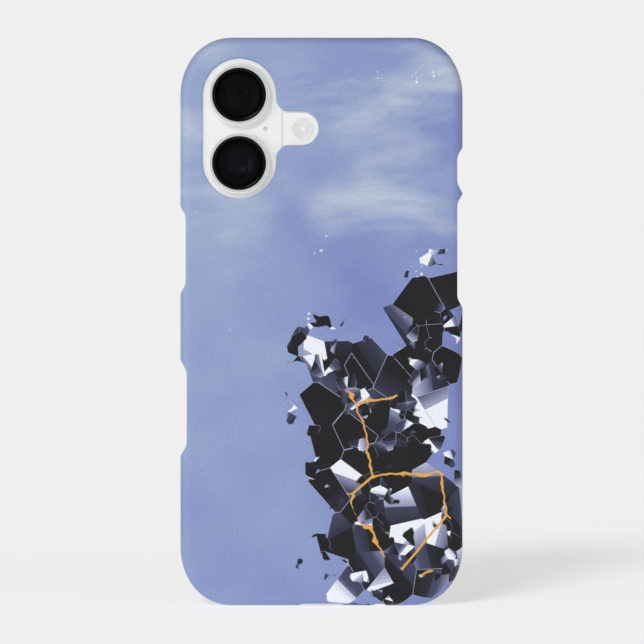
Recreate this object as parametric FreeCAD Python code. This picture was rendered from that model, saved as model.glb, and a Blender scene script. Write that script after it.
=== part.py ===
import FreeCAD, Part
import math
import os

V = FreeCAD.Vector

# All sizes are in millimetres.  Everything is modelled lying on the front rim of the case:
# x runs across, y from the bottom edge to the top edge, z out of the back.
# stand_up() then turns each part so that y becomes the height and the back faces -Y.

# ---- phone, overall ----
phone_width = 71.6
phone_length = 147.6
phone_thickness = 7.8
corner_r = 11.08          # corner curve next to the short edges
corner_side_r = 15.79     # easier curve next to the long edges
corner_deg = 57.8         # share of the corner taken by corner_r
edge_r = 1.25             # rounding of the frame towards both faces

# ---- case ----
wall = 1.6                # side walls
back_wall = 1.0
fit_gap = 0.15            # air between phone and case, all round
lip_rise = 0.6            # rim stands this far above the screen
lip_reach = 0.7           # retaining lip, inward from the cavity wall
back_edge_r = 3.0
rim_edge_r = 0.8
cavity_back_r = 1.4       # inner rounding that follows the phone's back edge

# ---- phone build ----
frame_wall = 2.6
glass_inset = 1.3         # frame edge to glass edge
glass_gap = 0.06
screen_thickness = 1.4
web_thickness = 0.7
back_glass_thickness = 0.8

# ---- camera group, measured from the top and left edges of the case ----
lens_from_left = 15.71
lens_from_top = 15.5
lens_pitch = 18.11
window_from_left = 15.77
window_from_top = 24.32   # middle of the window's pill
window_pitch = 17.58
window_r = 9.72
window_edge_r = 0.7
apron_clearance = 0.1     # between the case and the apron that it passes over
tab_from_top = 24.28
tab_half = 4.47
tab_reach = 16.43         # window's centre line to the centre of the tab's round end
tab_corner_r = 3.5
plateau_half = 11.1       # half width of the raised pill that carries both lenses
plateau_rise = 0.45
plateau_edge_r = 0.5
apron_half = 11.7         # foot of the sloping apron round the plateau
foot_r = 0.6
boss_rise = 2.05          # glass raised round each lens, above the plateau
boss_crown_r = 7.85
boss_slope_deg = 80.0
boss_crown_round = 0.25
boss_foot_round = 0.45
rim_r = 7.75              # bare metal rim of a lens ring
rim_proud = 0.15
rim_bevel = 0.15
cover_r = 7.14
cover_drop = 0.1          # cover below the rim
cover_thickness = 0.6
neck_r = 6.8
neck_wall = 0.5
neck_depth = 0.8
part_gap = 0.05           # fit of small set-in parts
close_gap = 0.03          # fit of parts that are bonded in
flash_from_lens = 17.02
flash_drop = 0.11         # flash and microphone below the tab's centre line
flash_r = 3.16
flash_wall = 0.4
flash_recess = 0.05
mic_from_lens = 6.92
mic_r = 0.5
mic_recess = 0.3
set_in_depth = 0.9        # depth of the flash and of the microphone

# ---- optics: inset from the barrel's wall and depth below its top ----
barrel_depth = 4.4
barrel_drop = 0.1
barrel_steps = [(0.0, 0.0), (0.9, 0.0), (1.4, 0.9), (2.4, 1.1), (3.2, 3.0)]
element_inset = 3.25
element_rise = 0.7

# ---- charging port and sound openings ----
port_length = 9.0
port_height = 3.2
port_depth = 6.5
port_inset = 0.25         # liner behind the face of the frame
port_wall = 0.3
port_floor = 0.5
tongue_length = 6.6
tongue_height = 0.7
tongue_inset = 1.2
charger_length = 12.6
charger_height = 6.4
sound_slot_height = 2.6
sound_bridge = 2.8        # wall left between the charger opening and a sound slot
sound_margin = 0.5        # from a sound slot to the corner curve
hole_r = 0.7
hole_pitch = 2.5
holes_each_side = 5
mesh_border = 0.4         # mesh beyond the outermost holes
mesh_thickness = 0.4
earpiece_length = 10.0
earpiece_height = 0.45
earpiece_recess = 0.15

# ---- heavy block inside ----
battery_width = 44.0
battery_thickness = 4.0
battery_rise = 10.0       # above the bottom of the frame's opening
battery_clearance = 8.4   # below the lower lens

# ---- scooped notches in the side walls ----
ramp_deg = 30.0
ramp_round = 4.0
slot_margin = 1.4         # the through slot starts this far inside its notch
slot_corner_r = 1.6
slot_drop = 0.5           # top of the slot below the phone's back
slot_reach = 0.6          # slot cutter past the inside of the wall
overcut = 2.0             # cutters reach this far out of the case
search_margin = 0.5       # allowed round the camera group when its edges are looked up
port_ramp_deg = 20.0
port_ramp_round = 3.0
port_notch_length = 12.9
port_notch_depth = 0.56

# side (+1 right seen from the back), distance of the notch ends from the top edge, depth
notches = [
    (1, 29.14, 41.55, 1.5),
    (1, 41.55, 72.0, 1.5),
    (-1, 44.9, 68.3, 1.5),
    (-1, 85.7, 111.5, 1.78),
]

# name, side, centre from the top edge, length, height, how far it stands out of the frame
buttons = [
    ("action_button", 1, 35.35, 5.6, 2.8, 0.22),
    ("volume_up_button", 1, 50.95, 9.8, 2.8, 0.22),
    ("volume_down_button", 1, 62.65, 9.8, 2.8, 0.22),
    ("side_button", -1, 56.6, 15.4, 2.8, 0.22),
    ("camera_control", -1, 98.6, 16.4, 2.8, 0.04),
]
button_depth = 0.9
button_gap = 0.06
button_bevel = 0.15

# ---- derived sizes ----
shell = fit_gap + wall
case_width = phone_width + 2 * shell
case_length = phone_length + 2 * shell
screen_z = lip_rise
back_z = screen_z + phone_thickness
inner_z = back_z + fit_gap
case_back_z = inner_z + back_wall
mid_z = screen_z + phone_thickness / 2
web_z = screen_z + screen_thickness
web_top_z = web_z + web_thickness
half_w = case_width / 2
lens_x = lens_from_left - half_w
lens_top_y = case_length - lens_from_top
lens_low_y = lens_top_y - lens_pitch
window_x = window_from_left - half_w
window_top_y = case_length - window_from_top + window_pitch / 2
window_low_y = window_top_y - window_pitch
tab_y = case_length - tab_from_top
flash_y = tab_y - flash_drop
plateau_z = back_z + plateau_rise
boss_z = plateau_z + boss_rise
ring_z = boss_z + rim_proud
cover_z = ring_z - cover_drop
barrel_top_z = cover_z - cover_thickness - barrel_drop
barrel_r = neck_r - neck_wall - part_gap
apron_run = (apron_half - plateau_half) / plateau_rise    # sideways for each unit of rise
frame_bottom_y = shell
frame_top_y = shell + phone_length

os.makedirs("parts", exist_ok=True)


def corner_centres(inset):
    """Half sizes, radii and arc centres of the outline lying inset inside the phone's edge."""
    hw = phone_width / 2 - inset
    hl = phone_length / 2 - inset
    r1 = corner_r - inset
    r2 = corner_side_r - inset
    a = math.radians(corner_deg)
    span_x = r1 * math.sin(a) + r2 * (1 - math.sin(a))
    c1 = (hw - span_x, hl - r1)
    c2 = (hw - r2, c1[1] + (r1 - r2) * math.cos(a))
    return hw, hl, r1, r2, c1, c2


def on_arc(centre, radius, degrees, z):
    a = math.radians(degrees)
    return V(centre[0] + radius * math.sin(a), centre[1] + radius * math.cos(a), z)


def mirrored(point, sx, sy):
    return V(point.x * sx, point.y * sy, point.z)


def outline(inset, z):
    """Closed wire round the phone, inset inwards (negative: outwards), centred on x = y = 0."""
    hw, hl, r1, r2, c1, c2 = corner_centres(inset)
    first = [on_arc(c1, r1, d, z) for d in (0, corner_deg / 2, corner_deg)]
    second = [on_arc(c2, r2, d, z) for d in (corner_deg, (corner_deg + 90) / 2, 90)]
    edges = []
    ends = []
    for sx, sy in ((1, 1), (1, -1), (-1, -1), (-1, 1)):
        arcs = [[mirrored(p, sx, sy) for p in arc] for arc in (first, second)]
        if sx * sy < 0:
            arcs = [arc[::-1] for arc in arcs[::-1]]
        edges += [Part.Arc(*arc).toShape() for arc in arcs]
        ends.append((arcs[0][0], arcs[1][-1]))
    for i in range(4):
        start = ends[i][1]
        stop = ends[(i + 1) % 4][0]
        edges.append(Part.makeLine(start, stop))
    return Part.Wire(Part.__sortEdges__(edges))


def slab(inset, z0, z1):
    """Plate with the phone's outline between two heights."""
    face = Part.Face(outline(inset, z0))
    solid = face.extrude(V(0, 0, z1 - z0))
    solid.translate(V(0, case_length / 2, 0))
    return solid


def level_edges(solid, z):
    """Edges lying in the plane at height z."""
    found = []
    for edge in solid.Edges:
        box = edge.BoundBox
        if abs(box.ZMin - z) < 1e-4 and abs(box.ZMax - z) < 1e-4:
            found.append(edge)
    return found


def camera_edges(solid, z, radius, right):
    """Level edges within a radius of the lenses' pill, or as far right of it as the tab goes."""
    reach = radius + search_margin
    found = []
    for edge in level_edges(solid, z):
        box = edge.BoundBox
        across = box.XMin > window_x - reach and box.XMax < window_x + right + search_margin
        if across and box.YMin > window_low_y - reach and box.YMax < window_top_y + reach:
            found.append(edge)
    return found


def rounded_slab(inset, z0, z1, low_r, high_r):
    solid = slab(inset, z0, z1)
    if low_r > 0:
        solid = solid.makeFillet(low_r, level_edges(solid, z0))
    if high_r > 0:
        solid = solid.makeFillet(high_r, level_edges(solid, z1))
    return solid


def disc(x, y, radius, z0, z1):
    return Part.makeCylinder(radius, z1 - z0, V(x, y, z0))


def turned(x, y, profile):
    """Solid of revolution about the vertical through x, y; profile is (radius, z) points."""
    points = [V(r, 0, z) for r, z in profile]
    wire = Part.makePolygon(points + [points[0]])
    solid = Part.Face(wire).revolve(V(0, 0, 0), V(0, 0, 1), 360)
    solid.translate(V(x, y, 0))
    return solid


def pill(x, y0, y1, radius, z0, z1):
    """Upright pill between two end centres."""
    box = Part.makeBox(2 * radius, y1 - y0, z1 - z0, V(x - radius, y0, z0))
    solid = box.fuse([disc(x, y0, radius, z0, z1), disc(x, y1, radius, z0, z1)])
    return solid.removeSplitter()


def sloped_pill(x, y0, y1, low_r, high_r, z0, z1):
    """Pill whose side slopes from low_r at z0 to high_r at z1."""
    cones = [Part.makeCone(low_r, high_r, z1 - z0, V(x, y, z0)) for y in (y0, y1)]
    points = [
        V(x - low_r, y0, z0),
        V(x + low_r, y0, z0),
        V(x + high_r, y0, z1),
        V(x - high_r, y0, z1),
    ]
    face = Part.Face(Part.makePolygon(points + [points[0]]))
    middle = face.extrude(V(0, y1 - y0, 0))
    return middle.fuse(cones).removeSplitter()


def long_hole(length, height, x, z, y0, y1):
    """Round-ended bar along y, length across x and height along z."""
    r = height / 2
    a = length / 2 - r
    top = Part.makeLine(V(x - a, y0, z + r), V(x + a, y0, z + r))
    right = Part.Arc(V(x + a, y0, z + r), V(x + a + r, y0, z), V(x + a, y0, z - r)).toShape()
    low = Part.makeLine(V(x + a, y0, z - r), V(x - a, y0, z - r))
    left = Part.Arc(V(x - a, y0, z - r), V(x - a - r, y0, z), V(x - a, y0, z + r)).toShape()
    face = Part.Face(Part.Wire([top, right, low, left]))
    return face.extrude(V(0, y1 - y0, 0))


def scoop(length, depth, slope_deg, round_r):
    """Cutter for a scooped notch: centred on x = 0, outer face at y = 0, opening towards +y."""
    t = math.radians(slope_deg)
    arc_run = round_r * math.sin(t)
    arc_drop = round_r * (1 - math.cos(t))
    run = (depth - arc_drop) / math.tan(t)
    half = length / 2
    flat = half - run - arc_run
    mid_run = round_r * math.sin(t / 2)
    mid_drop = round_r * (1 - math.cos(t / 2))
    left = [
        V(-half - overcut / math.tan(t), overcut, 0),
        V(-half + run, arc_drop - depth, 0),
        V(-flat - mid_run, mid_drop - depth, 0),
        V(-flat, -depth, 0),
    ]
    right = [V(-p.x, p.y, 0) for p in left]
    edges = [
        Part.makeLine(left[0], left[1]),
        Part.Arc(left[1], left[2], left[3]).toShape(),
        Part.makeLine(left[3], right[3]),
        Part.Arc(right[3], right[2], right[1]).toShape(),
        Part.makeLine(right[1], right[0]),
        Part.makeLine(right[0], left[0]),
    ]
    solid = Part.Face(Part.Wire(edges)).extrude(V(0, 0, case_back_z + 2 * overcut))
    solid.translate(V(0, 0, -overcut))
    return solid


def wall_slot(length):
    """Cutter for the slot that opens a side wall down from the rim, placed like scoop()."""
    top = back_z - slot_drop
    corner = V(-length / 2, -shell - slot_reach, -overcut)
    box = Part.makeBox(length, shell + slot_reach + overcut, top + overcut, corner)
    edges = [e for e in level_edges(box, top) if e.BoundBox.YLength > shell]
    return box.makeFillet(slot_corner_r, edges)


def at_side(solid, side, from_top):
    """Turns a cutter made for y = 0 on to a side wall of the case."""
    placed = solid.copy()
    placed.rotate(V(0, 0, 0), V(0, 0, 1), -90 * side)
    placed.translate(V(side * half_w, case_length - from_top, 0))
    return placed


def window_cutter():
    """Pill for the lenses joined to a round-ended tab for the flash, blended at the corners."""
    r = window_r
    t = tab_corner_r
    right = window_x + r
    tab_end = window_x + tab_reach
    high = tab_y + tab_half
    low = tab_y - tab_half
    d = math.sqrt(0.5)
    left = window_x - r
    edges = [
        Part.Arc(
            V(left, window_top_y, 0), V(window_x, window_top_y + r, 0), V(right, window_top_y, 0)
        ).toShape(),
        Part.makeLine(V(right, window_top_y, 0), V(right, high + t, 0)),
        Part.Arc(
            V(right, high + t, 0),
            V(right + t - t * d, high + t - t * d, 0),
            V(right + t, high, 0),
        ).toShape(),
        Part.makeLine(V(right + t, high, 0), V(tab_end, high, 0)),
        Part.Arc(
            V(tab_end, high, 0), V(tab_end + tab_half, tab_y, 0), V(tab_end, low, 0)
        ).toShape(),
        Part.makeLine(V(tab_end, low, 0), V(right + t, low, 0)),
        Part.Arc(
            V(right + t, low, 0),
            V(right + t - t * d, low - t + t * d, 0),
            V(right, low - t, 0),
        ).toShape(),
        Part.makeLine(V(right, low - t, 0), V(right, window_low_y, 0)),
        Part.Arc(
            V(right, window_low_y, 0), V(window_x, window_low_y - r, 0), V(left, window_low_y, 0)
        ).toShape(),
        Part.makeLine(V(left, window_low_y, 0), V(left, window_top_y, 0)),
    ]
    face = Part.Face(Part.Wire(edges))
    solid = face.extrude(V(0, 0, back_wall + 2 * overcut))
    solid.translate(V(0, 0, inner_z - overcut))
    return solid


def apron_relief():
    """Cutter that follows the apron under the window's edge, with a little air."""
    low_r = apron_half + apron_run * apron_clearance
    high_z = plateau_z + apron_clearance
    return sloped_pill(lens_x, lens_low_y, lens_top_y, low_r, plateau_half, back_z, high_z)


def case_shell():
    """The moulded case: a tray with the window, retaining lips, notches and bottom openings."""
    body = rounded_slab(-shell, 0, case_back_z, rim_edge_r, back_edge_r)
    cavity = rounded_slab(-fit_gap, screen_z - fit_gap, inner_z, 0, cavity_back_r)
    mouth = slab(lip_reach - fit_gap, -overcut, screen_z + overcut)
    body = body.cut([cavity, mouth])
    body = body.cut(window_cutter())
    rim = camera_edges(body, case_back_z, window_r, tab_reach + tab_half)
    body = body.makeFillet(window_edge_r, rim)
    body = body.cut(apron_relief())
    for side, near, far, depth in notches:
        middle = (near + far) / 2
        body = body.cut(at_side(scoop(far - near, depth, ramp_deg, ramp_round), side, middle))
        body = body.cut(at_side(wall_slot(far - near - 2 * slot_margin), side, middle))
    port_scoop = scoop(port_notch_length, port_notch_depth, port_ramp_deg, port_ramp_round)
    port_scoop.rotate(V(0, 0, 0), V(0, 0, 1), 180)
    body = body.cut(port_scoop)
    body = body.cut(long_hole(charger_length, charger_height, 0, mid_z, -overcut, shell))
    start, stop = sound_span()
    for side in (-1, 1):
        x = side * (start + stop) / 2
        body = body.cut(long_hole(stop - start, sound_slot_height, x, mid_z, -overcut, shell))
    return body


def sound_span():
    """Near and far end of a sound slot, on the straight part of the bottom wall."""
    straight = corner_centres(-shell)[4][0]
    return charger_length / 2 + sound_bridge, straight - sound_margin


def button_bar(length, height, depth):
    """Round-ended bar with its outer face at y = 0, long side across x."""
    bar = long_hole(length, height, 0, mid_z, -depth, 0)
    face_edges = [e for e in bar.Edges if abs(e.BoundBox.YMin) < 1e-4]
    return bar.makeChamfer(button_bevel, face_edges)


def phone_frame():
    """Metal band with a carrying web, seats for both glasses and pockets for the controls."""
    band = rounded_slab(0, screen_z, back_z, edge_r, edge_r)
    above = slab(frame_wall, web_top_z, back_z + overcut)
    screen_seat = slab(glass_inset, screen_z - overcut, web_z)
    back_seat = slab(glass_inset, back_z - back_glass_thickness, back_z + overcut)
    band = band.cut([above, screen_seat, back_seat])
    for name, side, from_top, length, height, proud in buttons:
        pocket_length = length + 2 * button_gap
        pocket_height = height + 2 * button_gap
        pocket = long_hole(pocket_length, pocket_height, 0, mid_z, -button_depth - shell, 0)
        band = band.cut(at_side(pocket, side, from_top))
    inside = frame_bottom_y + frame_wall + 1
    band = band.cut(long_hole(port_length, port_height, 0, mid_z, 0, inside))
    for side in (-1, 1):
        for x in sound_holes():
            hole = Part.makeCylinder(hole_r, inside, V(side * x, 0, mid_z), V(0, 1, 0))
            band = band.cut(hole)
    return band


def sound_holes():
    """Distances of the drilled sound holes from the middle."""
    start, stop = sound_span()
    first = (start + stop) / 2 - hole_pitch * (holes_each_side - 1) / 2
    return [first + hole_pitch * i for i in range(holes_each_side)]


def lens_boss(y):
    """Glass that rises in a soft double curve from the plateau to the rim of a lens ring."""
    t = math.radians(boss_slope_deg)
    rounds = (boss_crown_round, boss_foot_round)
    run, foot_run = [r * math.sin(t) for r in rounds]
    drop, foot_drop = [r * (1 - math.cos(t)) for r in rounds]
    mid_run, foot_mid_run = [r * math.sin(t / 2) for r in rounds]
    mid_drop, foot_mid_drop = [r * (1 - math.cos(t / 2)) for r in rounds]
    straight = boss_rise - drop - foot_drop
    crown = V(boss_crown_r, 0, boss_z)
    shoulder = V(crown.x + run, 0, boss_z - drop)
    cove = V(shoulder.x + straight / math.tan(t), 0, plateau_z + foot_drop)
    foot = V(cove.x + foot_run, 0, plateau_z)
    cove_mid = V(foot.x - foot_mid_run, 0, plateau_z + foot_mid_drop)
    below = plateau_z - plateau_edge_r
    edges = [
        Part.Arc(crown, V(crown.x + mid_run, 0, boss_z - mid_drop), shoulder).toShape(),
        Part.makeLine(shoulder, cove),
        Part.Arc(cove, cove_mid, foot).toShape(),
        Part.makeLine(foot, V(foot.x, 0, below)),
        Part.makeLine(V(foot.x, 0, below), V(neck_r, 0, below)),
        Part.makeLine(V(neck_r, 0, below), V(neck_r, 0, boss_z)),
        Part.makeLine(V(neck_r, 0, boss_z), crown),
    ]
    solid = Part.Face(Part.Wire(edges)).revolve(V(0, 0, 0), V(0, 0, 1), 360)
    solid.translate(V(lens_x, y, 0))
    return solid


def back_glass():
    """White rear glass in one piece with the camera plateau, its apron and the two bosses."""
    plate = slab(glass_inset + glass_gap, back_z - back_glass_thickness, back_z)
    apron = sloped_pill(
        lens_x, lens_low_y, lens_top_y, apron_half, plateau_half, back_z, plateau_z
    )
    glass = plate.fuse(apron).removeSplitter()
    glass = glass.makeFillet(foot_r, camera_edges(glass, back_z, apron_half, apron_half))
    crown = camera_edges(glass, plateau_z, plateau_half, plateau_half)
    glass = glass.makeFillet(plateau_edge_r, crown)
    glass = glass.fuse([lens_boss(lens_low_y), lens_boss(lens_top_y)])
    cuts = []
    for y in (lens_low_y, lens_top_y):
        cuts.append(disc(lens_x, y, neck_r + part_gap, back_z - overcut, ring_z))
        cuts.append(disc(lens_x, y, rim_r + close_gap, plateau_z, ring_z))
    flash_x = lens_x + flash_from_lens
    mic_x = lens_x + mic_from_lens
    cuts.append(disc(flash_x, flash_y, flash_r + close_gap, back_z - overcut, ring_z))
    cuts.append(disc(mic_x, flash_y, mic_r + close_gap, back_z - overcut, ring_z))
    return glass.cut(cuts)


def lens_ring(y):
    """Turned ring: a neck through the glass, a flange in its boss and a seat for the cover."""
    inner = neck_r - neck_wall
    low = plateau_z - neck_depth
    seat_r = cover_r + close_gap
    seat = cover_z - cover_thickness
    profile = [
        (inner, low),
        (neck_r, low),
        (neck_r, plateau_z),
        (rim_r, plateau_z),
        (rim_r, ring_z - rim_bevel),
        (rim_r - rim_bevel, ring_z),
        (seat_r, ring_z),
        (seat_r, seat),
        (inner, seat),
    ]
    return turned(lens_x, y, profile)


def lens_barrel(y):
    """Black cup under the cover, stepping down to the front element."""
    floor_z = barrel_top_z - barrel_steps[-1][1]
    profile = [(0, barrel_top_z - barrel_depth), (barrel_r, barrel_top_z - barrel_depth)]
    profile += [(barrel_r - inset, barrel_top_z - depth) for inset, depth in barrel_steps]
    profile.append((0, floor_z))
    return turned(lens_x, y, profile)


def lens_element(y):
    """Domed front element standing on the floor of the barrel."""
    r = barrel_r - element_inset
    base = barrel_top_z - barrel_steps[-1][1]
    sphere_r = (r * r + element_rise * element_rise) / (2 * element_rise)
    ball = Part.makeSphere(sphere_r, V(lens_x, y, base + element_rise - sphere_r))
    return ball.common(disc(lens_x, y, r, base, barrel_top_z))


def flash_ring():
    x = lens_x + flash_from_lens
    body = disc(x, flash_y, flash_r, back_z - set_in_depth, back_z)
    return body.cut(disc(x, flash_y, flash_r - flash_wall, back_z - overcut, back_z + overcut))


def flash_lens():
    x = lens_x + flash_from_lens
    r = flash_r - flash_wall - close_gap
    return disc(x, flash_y, r, back_z - set_in_depth, back_z - flash_recess)


def rear_mic():
    top = plateau_z - mic_recess
    return disc(lens_x + mic_from_lens, flash_y, mic_r, top - set_in_depth, top)


def port_shell():
    """Steel liner of the charging port, closed at its inner end."""
    start = frame_bottom_y + port_inset
    stop = start + port_depth
    length = port_length - 2 * close_gap
    height = port_height - 2 * close_gap
    bore_length = port_length - 2 * port_wall
    bore_height = port_height - 2 * port_wall
    tube = long_hole(length, height, 0, mid_z, start, stop)
    return tube.cut(long_hole(bore_length, bore_height, 0, mid_z, start - 1, stop - port_floor))


def port_tongue():
    """Contact tongue standing on the back of the port."""
    start = frame_bottom_y + tongue_inset
    stop = frame_bottom_y + port_inset + port_depth - port_floor
    corner = V(-tongue_length / 2, start, mid_z - tongue_height / 2)
    return Part.makeBox(tongue_length, stop - start, tongue_height, corner)


def sound_mesh(side):
    """Mesh strip lying against the inside of the band behind the drilled holes."""
    holes = sound_holes()
    height = 2 * (hole_r + mesh_border)
    length = holes[-1] - holes[0] + height
    middle = side * (holes[0] + holes[-1]) / 2
    corner = V(middle - length / 2, frame_bottom_y + frame_wall, mid_z - height / 2)
    return Part.makeBox(length, mesh_thickness, height, corner)


def screen():
    """Front glass with the earpiece slot at its top edge."""
    plate = slab(glass_inset + glass_gap, screen_z, web_z)
    bottom = frame_top_y - glass_inset - glass_gap - earpiece_height
    corner = V(-earpiece_length / 2, bottom, screen_z - 1)
    return plate.cut(Part.makeBox(earpiece_length, glass_inset, web_z - screen_z + 2, corner))


def earpiece_mesh():
    """Bar of mesh in the earpiece slot, a little below the glass."""
    bottom = frame_top_y - glass_inset - glass_gap - earpiece_height + close_gap
    length = earpiece_length - 2 * close_gap
    low = screen_z + earpiece_recess
    corner = V(-length / 2, bottom, low)
    return Part.makeBox(length, earpiece_height - close_gap, web_z - low, corner)


def battery():
    bottom = frame_bottom_y + frame_wall + battery_rise
    length = lens_low_y - neck_r - battery_clearance - bottom
    corner = V(-battery_width / 2, bottom, web_top_z)
    return Part.makeBox(battery_width, length, battery_thickness, corner)


def stand_up(solid):
    """Turns a part from lying to standing, centred across and in depth."""
    placed = solid.copy()
    placed.rotate(V(0, 0, 0), V(1, 0, 0), 90)
    placed.translate(V(0, ring_z / 2, 0))
    return placed


parts = {
    "case_shell": case_shell(),
    "phone_frame": phone_frame(),
    "back_glass": back_glass(),
    "screen": screen(),
    "earpiece_mesh": earpiece_mesh(),
    "battery": battery(),
    "port_shell": port_shell(),
    "port_tongue": port_tongue(),
    "sound_mesh_left": sound_mesh(-1),
    "sound_mesh_right": sound_mesh(1),
    "flash_ring": flash_ring(),
    "flash_lens": flash_lens(),
    "rear_mic": rear_mic(),
}

for label, y in (("upper", lens_top_y), ("lower", lens_low_y)):
    parts[label + "_lens_ring"] = lens_ring(y)
    parts[label + "_lens_cover"] = disc(lens_x, y, cover_r, cover_z - cover_thickness, cover_z)
    parts[label + "_lens_barrel"] = lens_barrel(y)
    parts[label + "_lens_element"] = lens_element(y)

for name, side, from_top, length, height, proud in buttons:
    bar = button_bar(length, height, button_depth + proud)
    bar.translate(V(0, proud - shell, 0))
    parts[name] = at_side(bar, side, from_top)

for name, solid in parts.items():
    standing = stand_up(solid)
    if len(standing.Solids) != 1 or not standing.isValid():
        raise ValueError(name + " is not one valid solid")
    box = standing.BoundBox
    print(name, [round(v, 2) for v in (box.XMin, box.XMax, box.YMin, box.YMax, box.ZMin, box.ZMax)])
    standing.Solids[0].exportStep("parts/" + name + ".step")
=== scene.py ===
import math

import bmesh
import bpy
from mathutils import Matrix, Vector


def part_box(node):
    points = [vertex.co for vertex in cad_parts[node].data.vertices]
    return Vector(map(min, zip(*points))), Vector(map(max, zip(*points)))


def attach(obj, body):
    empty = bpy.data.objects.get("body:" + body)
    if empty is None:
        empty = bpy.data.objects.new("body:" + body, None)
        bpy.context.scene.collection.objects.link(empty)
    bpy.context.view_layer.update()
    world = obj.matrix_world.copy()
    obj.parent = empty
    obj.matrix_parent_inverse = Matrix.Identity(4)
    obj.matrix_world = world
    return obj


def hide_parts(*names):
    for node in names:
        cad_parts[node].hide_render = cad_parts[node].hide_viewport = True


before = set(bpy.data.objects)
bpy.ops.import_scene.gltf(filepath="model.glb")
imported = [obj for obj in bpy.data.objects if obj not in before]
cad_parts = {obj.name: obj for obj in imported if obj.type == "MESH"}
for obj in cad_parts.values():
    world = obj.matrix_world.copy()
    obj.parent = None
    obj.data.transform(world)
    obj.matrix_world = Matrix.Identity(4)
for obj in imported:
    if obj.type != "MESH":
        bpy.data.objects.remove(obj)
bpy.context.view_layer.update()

bl_info = {
    "name": "Phone in a printed clip-on case",
    "version": (1, 0, 0),
    "blender": (4, 5, 0),
    "location": "3D View > Sidebar > Phone case",
    "description": "Finishes the packed phone and its printed case and sets the studio round them",
    "category": "Object",
}

MM = 0.001
BODY = "root"
UPPER = "upper_lens_"
LOWER = "lower_lens_"
NOISE_SPAN = (0.3, 0.7)  # a noise seldom leaves it


def paint(red, green, blue):
    """Linear colour of a paint given on the usual scale of 0 to 255, by the sRGB curve."""
    return tuple(
        c / 255 / 12.92 if c <= 10 else ((c / 255 + 0.055) / 1.055) ** 2.4
        for c in (red, green, blue)
    )


def rgba(colour, factor=1.0):
    return (colour[0] * factor, colour[1] * factor, colour[2] * factor, 1.0)


# ------ settings


def colour_property(name, description, red, green, blue):
    return bpy.props.FloatVectorProperty(
        name=name,
        description=description,
        default=paint(red, green, blue),
        size=3,
        min=0.0,
        max=1.0,
        subtype="COLOR",
    )


def float_property(name, description, default, **options):
    return bpy.props.FloatProperty(name=name, description=description, default=default, **options)


def length_property(name, description, default):
    return float_property(name, description, default, min=0.0, unit="LENGTH", precision=5)


def angle_property(name, description, degrees):
    return float_property(name, description, math.radians(degrees), unit="ROTATION")


def factor_property(name, description, default, top=1.0):
    return float_property(name, description, default, min=0.0, max=top, subtype="FACTOR")


def count_property(name, description, default, fewest, most):
    return bpy.props.IntProperty(
        name=name, description=description, default=default, min=fewest, max=most
    )


class PrintSettings(bpy.types.PropertyGroup):
    """The picture printed on the case: a misty sky with a dark crystal in front of it."""

    pale: colour_property("Pale sky", "Lightest tone of the sky", 146, 163, 201)
    middle: colour_property("Middle sky", "Usual tone of the sky", 132, 147, 196)
    deep: colour_property("Deep sky", "Deepest tone of the sky", 110, 120, 187)
    cloud: colour_property("Cloud", "Tone of the clouds", 196, 207, 218)
    crystal_dark: colour_property("Crystal black", "Darkest facets of the crystal", 10, 10, 14)
    crystal_slate: colour_property("Crystal slate", "Middle facets of the crystal", 66, 68, 98)
    crystal_silver: colour_property("Crystal silver", "Bright facets", 168, 172, 204)
    crystal_white: colour_property("Crystal white", "Brightest facets", 236, 238, 246)
    vein: colour_property("Vein", "Golden veins in the crystal", 222, 168, 76)
    inside: colour_property("Bare plastic", "The case where it isn't printed", 232, 233, 235)
    grain: factor_property("Grain", "Strength of the fine grain of the print", 0.20)
    facet: length_property("Facet", "Usual width of a crystal facet", 8.0 * MM)


class PhoneSettings(bpy.types.PropertyGroup):
    """Finishes of the phone itself."""

    metal: colour_property("Frame", "Anodised metal of the frame and buttons", 205, 206, 207)
    glass: colour_property("Rear glass", "White rear glass with the camera plateau", 240, 240, 239)
    ring: colour_property("Lens ring", "Bare metal rim of the lens rings", 208, 208, 206)
    bezel: colour_property("Bezel", "Black border of the screen", 6, 6, 7)
    display: colour_property("Display", "The screen when it is off", 13, 14, 17)
    border: length_property("Display border", "Glass edge to the display", 1.9 * MM)
    front_camera: length_property("Front camera", "Radius of the front camera's window", 1.9 * MM)
    contacts: count_property("Contacts", "Contacts on each side of the tongue", 12, 1, 24)


class LensSettings(bpy.types.PropertyGroup):
    """The optics behind each camera cover, the flash and the rear microphone."""

    coating: colour_property("Coating", "Slate tint mirrored by the hollow glass", 74, 88, 124)
    dome: colour_property("Dome coating", "Tint mirrored by the domed glass", 76, 80, 92)
    baffles: count_property("Baffles", "Fine ribs on each step of the barrel", 5, 1, 12)
    blades: count_property("Iris blades", "Sides of the iris opening", 8, 5, 16)
    frost: colour_property("Flash frost", "Frosted lens of the flash", 225, 228, 226)
    emitter: colour_property("Flash emitter", "Warm phosphor of the flash", 255, 244, 234)
    mic: colour_property("Microphone", "Woven cover of the rear microphone", 204, 204, 202)


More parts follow.
